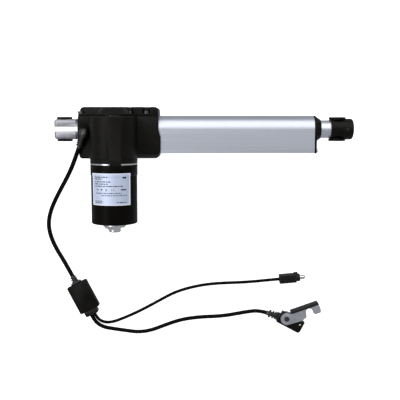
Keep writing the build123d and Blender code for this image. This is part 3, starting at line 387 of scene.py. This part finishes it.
# The finish of each CAD node that the render shows, as itself or as its softened copy.
NODE_FINISH = {
    "rear_fork": "cast",
    "rear_fork_bushes": "nylon_smooth",
    "fork_cross_pin": "steel",
    "gearbox_housing": "nylon",
    "gearbox_cover": "nylon",
    "cover_screws": "dark_screw",
    "bearing_outer_races": "race",
    "bearing_balls": "race",
    "spindle_bearing_inner_races": "race",
    "motor_bearing_inner_races": "race",
    "motor_mount_plate": "bright",
    "motor_can": "can",
    "nameplate": "foil",
    "motor_magnets": "ferrite",
    "armature_core": "lamination",
    "armature_windings": "winding",
    "commutator": "copper",
    "brush_holder": "phenolic",
    "carbon_brushes": "carbon",
    "brush_springs": "steel",
    "motor_end_bell": "bright",
    "motor_terminals": "nickel",
    "rear_motor_bush": "brass",
    "motor_shaft": "steel",
    "worm": "steel",
    "worm_wheel": "wheel",
    "wheel_key": "steel",
    "lead_screw": "screwthread",
    "retaining_nut": "steel",
    "spindle_end_guide": "acetal",
    "drive_nut": "acetal",
    "nut_magnet": "ferrite",
    "rod_cross_pins": "black_pin",
    "push_tube": "tube",
    "rod_head": "nylon_smooth",
    "rod_head_bushes": "nylon_smooth",
    "outer_profile": "anodised",
    "front_cap": "nylon",
    "small_screws": "screw",
    "rod_guide_bush": "acetal",
    "rod_wiper_seal": "seal",
    "limit_switch_board": "board",
    "limit_switches": "glass",
    "splitter_top_shell": "nylon",
    "splitter_bottom_shell": "nylon",
    "splitter_board": "board",
    "splitter_outlet_collar": "rubber",
    "plug_body": "rubber",
    "plug_contact": "nickel",
    "latch_plug_body": "nylon",
    "latch_plug_contacts": "nickel",
    "latch_lever_plates": "lever",
    "latch_lever_grip": "grip",
    "latch_pivot_rivet": "rivet",
}
BODY = {n: body for body, nodes in frame["record"]["behaviour"]["bodies"].items() for n in nodes}
SHOWN = dict(frame["nodes"])       # the piece that is seen for each CAD node
# Nodes whose sharp edges are rounded, and by how much in mm.
SOFTENED = {
    "gearbox_housing": 0.35,
    "gearbox_cover": 0.35,
    "front_cap": 0.35,
    "rear_fork": 0.3,
    "rod_head": 0.3,
    "motor_can": 0.3,
    "motor_end_bell": 0.3,
    "splitter_top_shell": 0.35,
    "splitter_bottom_shell": 0.35,
    "splitter_outlet_collar": 0.3,
    "plug_body": 0.3,
    "latch_plug_body": 0.3,
    "latch_lever_plates": 0.25,
    "latch_lever_grip": 0.35,
}


def painted(obj, material):
    obj.data.materials.clear()
    obj.data.materials.append(material)
    return obj


def in_place(piece, node):
    """The piece stands for a CAD node and goes on the same body."""
    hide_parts(node)
    SHOWN[node] = piece
    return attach(piece, BODY[node])


# ---- carried-over nodes ----
def repaint_nodes():
    for node, key in NODE_FINISH.items():
        painted(frame["nodes"][node], M[key])


def softened(node, width):
    """A copy of a hard-edged node with its sharp edges rounded in the mesh."""
    mesh = frame["nodes"][node].data.copy()
    work = bmesh.new()
    work.from_mesh(mesh)
    bmesh.ops.remove_doubles(work, verts=work.verts, dist=1e-6)
    bmesh.ops.dissolve_limit(work, angle_limit=math.radians(FLAT_ANGLE), verts=work.verts, edges=work.edges)
    work.to_mesh(mesh)
    work.free()
    piece = link(node + "_soft", mesh)
    for face in mesh.polygons:
        face.use_smooth = True
    bevel = piece.modifiers.new("edges", "BEVEL")
    bevel.width = width * MM
    bevel.segments = 2
    bevel.limit_method = "ANGLE"
    bevel.angle_limit = math.radians(SHARP_ANGLE)
    bevel.harden_normals = True
    bevel.use_clamp_overlap = False
    painted(piece, M[NODE_FINISH[node]])
    return in_place(piece, node)


# ---- cables and boots ----
def cable(name, node, route, radius):
    """A round cable on one smooth line through the route's control points."""
    curve = bpy.data.curves.new(name, "CURVE")
    curve.dimensions = "3D"
    spline = curve.splines.new("NURBS")
    spline.points.add(len(route) - 1)
    for point, place in zip(spline.points, route):
        point.co = (*place, 1.0)
    spline.order_u = 3
    spline.use_endpoint_u = True
    spline.resolution_u = 8
    curve.bevel_depth = radius
    curve.bevel_resolution = 6
    curve.use_fill_caps = True
    return in_place(painted(link(name, curve), M["pvc"]), node)


def rings_to_mesh(name, rings, material):
    """Closes a row of equal rings of points into one smooth skin with end caps."""
    count = len(rings[0])
    verts = [tuple(p) for ring in rings for p in ring]
    faces = []
    for i in range(len(rings) - 1):
        for j in range(count):
            k = (j + 1) % count
            faces.append((i * count + j, i * count + k, (i + 1) * count + k, (i + 1) * count + j))
    faces.append(tuple(reversed(range(count))))
    last = (len(rings) - 1) * count
    faces.append(tuple(range(last, last + count)))
    mesh = bpy.data.meshes.new(name)
    mesh.from_pydata(verts, [], faces)
    for face in mesh.polygons:
        face.use_smooth = len(face.vertices) == 4
    mesh.update()
    return painted(link(name, mesh), M[material])


def bezier(points, t):
    """A point of the Bezier curve of any order."""
    row = [Vector(p) for p in points]
    while len(row) > 1:
        row = [a.lerp(b, t) for a, b in zip(row, row[1:])]
    return row[0]


def skin_rings(points, profile, up):
    """Rings of points round a curved centre line.

    Each row of the profile is (place along the line from 0 to 1, half width,
    half height, power), with the halves in mm. Power 2 is a round section and 5
    is a rounded box.
    """
    rings = []
    normal = Vector(up)
    for t, width, height, power in profile:
        here = bezier(points, t)
        ahead = bezier(points, min(1.0, t + NEAR)) - bezier(points, max(0.0, t - NEAR))
        ahead.normalize()
        normal = (normal - ahead * normal.dot(ahead)).normalized()
        side = ahead.cross(normal)
        ring = []
        for j in range(RING_SIDES):
            angle = 2 * math.pi * j / RING_SIDES
            across, along = math.cos(angle), math.sin(angle)
            reach = (abs(across / height) ** power + abs(along / width) ** power) ** (-1 / power) * MM
            ring.append(here + reach * (across * normal + along * side))
        rings.append(ring)
    return rings


# Outline of one rib: place along it, and height above the groove.
RIB = (
    (0.0, 0.0), (0.05, 0.5), (0.12, 0.85), (0.24, 1.0),
    (0.76, 1.0), (0.88, 0.85), (0.95, 0.5), (1.0, 0.0),
)


def round_rows(pairs):
    """Rows of a round section from places along the line and radii in mm."""
    return [(t, r, r, ROUND) for t, r in pairs]


def ribbed(start, end, r_start, r_end, ribs, groove, duty):
    """Rows of a tapered sleeve with rounded ribs between two places of the line.

    groove is the depth in mm, and duty the part of each pitch that the rib fills.
    """
    pairs = []
    pitch = (end - start) / ribs
    for i in range(ribs):
        for place, height in RIB:
            t = start + pitch * (i + place * duty)
            r = r_start + (r_end - r_start) * (t - start) / (end - start)
            pairs.append((t, r - groove * (1 - height)))
    pairs.append((end, r_end - groove))
    return round_rows(pairs)


def boot(name, node, points, rows, up):
    piece = rings_to_mesh(name, skin_rings(points, rows, up), "boot")
    return in_place(piece, node)


def bend_relief():
    """Elbow and ribbed sleeve where the cable leaves the gearbox."""
    line = [
        (0.0289, -0.0033, 0.0190),
        (0.0289, -0.0033, 0.0300),
        (0.0268, -0.0095, 0.0272),
        MAIN_ROUTE[0],
    ]
    rows = round_rows((
        (0.0, 6.9), (0.03, 6.9), (0.045, 6.5), (0.10, 6.3), (0.2, 6.4),
        (0.32, 6.4), (0.42, 6.1), (0.49, 5.7), (0.53, 5.3),
    ))
    rows += ribbed(0.55, 0.97, 5.4, 4.4, 6, 1.8, 0.5)
    rows += round_rows(((0.985, 3.1), (1.0, 3.0)))
    return boot("bend_relief", "cable_strain_relief", line, rows, (1, 0, 0))


def inlet_boot():
    """Square collar on the splitter box and three ribs round the cable."""
    line = [(0.00686, -0.20145, -0.0195), (0.00162, -0.19119, -0.0195)]
    rows = [(0.0, 6.2, 4.2, 6), (0.02, 6.6, 4.5, 6), (0.18, 6.6, 4.5, 6), (0.215, 6.3, 4.3, 5)]
    rows += round_rows(((0.225, 4.0),))
    rows += ribbed(0.25, 0.98, 4.6, 4.0, 3, 1.1, 0.55)
    rows += round_rows(((1.0, 2.9),))
    return boot("inlet_relief", "splitter_inlet_boot", line, rows, (0, 0, 1))


def latch_boot():
    """Five deep ribs between the latch plug and its cable."""
    knee = (0.27151, -0.24546, -0.0197)
    line = [(0.27274, -0.24613, -0.0197), knee, knee, LATCH_ROUTE[-1]]
    rows = [(0.0, 5.2, 4.6, 4), (0.03, 5.4, 4.8, 4), (0.22, 5.4, 5.0, 4), (0.25, 5.1, 4.8, 3)]
    rows += round_rows(((0.27, 3.9),))
    rows += ribbed(0.32, 0.99, 5.5, 5.2, 5, 2.2, 0.5)
    rows += round_rows(((1.0, 2.7),))
    return boot("latch_relief", "latch_plug_boot", line, rows, (0, 0, 1))


# ---- print on the nameplate ----
def label_point(across, down, lift):
    """A place on the label: 0 to 1 across, 0 to 1 down, lifted off the foil in mm."""
    x = LABEL_X0 + (LABEL_X1 - LABEL_X0) * across
    y = LABEL_TOP + (LABEL_FOOT - LABEL_TOP) * down
    r = (LABEL_R if y < LABEL_STEP_Y else LABEL_RING_R) + lift * MM
    angle = math.asin((x - MOTOR_AXIS.x) / LABEL_R)
    return (MOTOR_AXIS.x + r * math.sin(angle), y, MOTOR_AXIS.z + r * math.cos(angle))


def stamp(work, outline):
    """One small flat mark of ink, as a thin solid."""
    top = [work.verts.new(label_point(a, d, INK_LIFT)) for a, d in outline]
    low = [work.verts.new(label_point(a, d, -INK_LIFT)) for a, d in outline]
    work.faces.new(top)
    work.faces.new(list(reversed(low)))
    for i in range(len(outline)):
        k = (i + 1) % len(outline)
        work.faces.new((top[i], low[i], low[k], top[k]))


def bar(work, a0, a1, d0, d1):
    """A bar that follows the curve of the can, built from short cells."""
    cells = math.ceil((a1 - a0) / CELL)
    for i in range(cells):
        left = a0 + (a1 - a0) * i / cells
        right = a0 + (a1 - a0) * (i + 1) / cells
        stamp(work, [(left, d0), (left, d1), (right, d1), (right, d0)])


def ragged(work, a0, a1, down, height, first):
    """A line of print, shown as short bars with even gaps. first picks the first width."""
    place = a0
    step = first
    while place < a1 - SHORTEST_WORD:
        width = WORDS[step % len(WORDS)]
        bar(work, place, min(a1, place + width), down - height / 2, down + height / 2)
        place += width + WORD_GAP
        step += 1


def round_mark(work, across, down, radius, start=0.0, sides=16):
    """A disc, or with few sides a square, diamond or hexagon."""
    points = []
    for i in range(sides):
        angle = start - 2 * math.pi * i / sides
        points.append((across + radius * LABEL_RATIO * math.cos(angle), down + radius * math.sin(angle)))
    stamp(work, points)


def print_layer(name, material, draw):
    work = bmesh.new()
    draw(work)
    bmesh.ops.recalc_face_normals(work, faces=work.faces)
    mesh = bpy.data.meshes.new(name)
    work.to_mesh(mesh)
    work.free()
    piece = painted(link(name, mesh), M[material])
    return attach(piece, "actuator_body")


# Each line of print: its two ends, its place down the label and its height.
PRINT_LINES = (
    (0.06, 0.44, 0.11, 0.044),
    (0.06, 0.24, 0.175, 0.032),
    (0.06, 0.51, 0.26, 0.030),
    (0.06, 0.42, 0.33, 0.030),
    (0.06, 0.83, 0.40, 0.030),
    (0.08, 0.80, 0.62, 0.024),
    (0.25, 0.93, 0.69, 0.024),
    (0.06, 0.28, 0.87, 0.024),
    (0.06, 0.28, 0.92, 0.024),
    (0.67, 0.92, 0.91, 0.030),
)
# The border: left, right, top and bottom of each side.
BORDER = (
    (0.0, 1.0, 0.0, 0.022),
    (0.0, 1.0, 0.978, 1.0),
    (0.0, 0.02, 0.022, 0.978),
    (0.98, 1.0, 0.022, 0.978),
)


def draw_ink(work):
    for a0, a1, down, height in PRINT_LINES:
        ragged(work, a0, a1, down, height, int(down * WORD_SHIFT))
    round_mark(work, 0.13, 0.51, 0.036, sides=4)
    round_mark(work, 0.25, 0.51, 0.026)
    round_mark(work, 0.38, 0.505, 0.030, math.pi / 4, 4)
    bar(work, 0.35, 0.42, 0.54, 0.550)
    round_mark(work, 0.53, 0.51, 0.016)
    round_mark(work, 0.59, 0.51, 0.016)
    bar(work, 0.78, 0.91, 0.49, 0.53)
    round_mark(work, 0.87, 0.125, 0.06, sides=6)


def draw_border(work):
    for side in BORDER:
        bar(work, *side)


# ---- build ----
world()
camera()
floor()
panel("key", (0.17, 0.70, 0.707), (0.17, 0.0, 0.0), 2.2, 1.3, 1.3)
panel("left", (-0.53, -0.05, 0.81), (0.06, -0.05, 0.0), 1.4, 0.5, 1.7)
repaint_nodes()
for soft_node, edge in SOFTENED.items():
    softened(soft_node, edge)
bend_relief()
inlet_boot()
latch_boot()
print_layer("label_ink", "ink", draw_ink)
print_layer("label_border", "border", draw_border)

cable("main_lead", "main_cable", MAIN_ROUTE, 2.75 * MM)
cable("plug_lead", "plug_cable", PLUG_ROUTE, 2.0 * MM)
cable("latch_lead", "latch_cable", LATCH_ROUTE, 2.5 * MM)
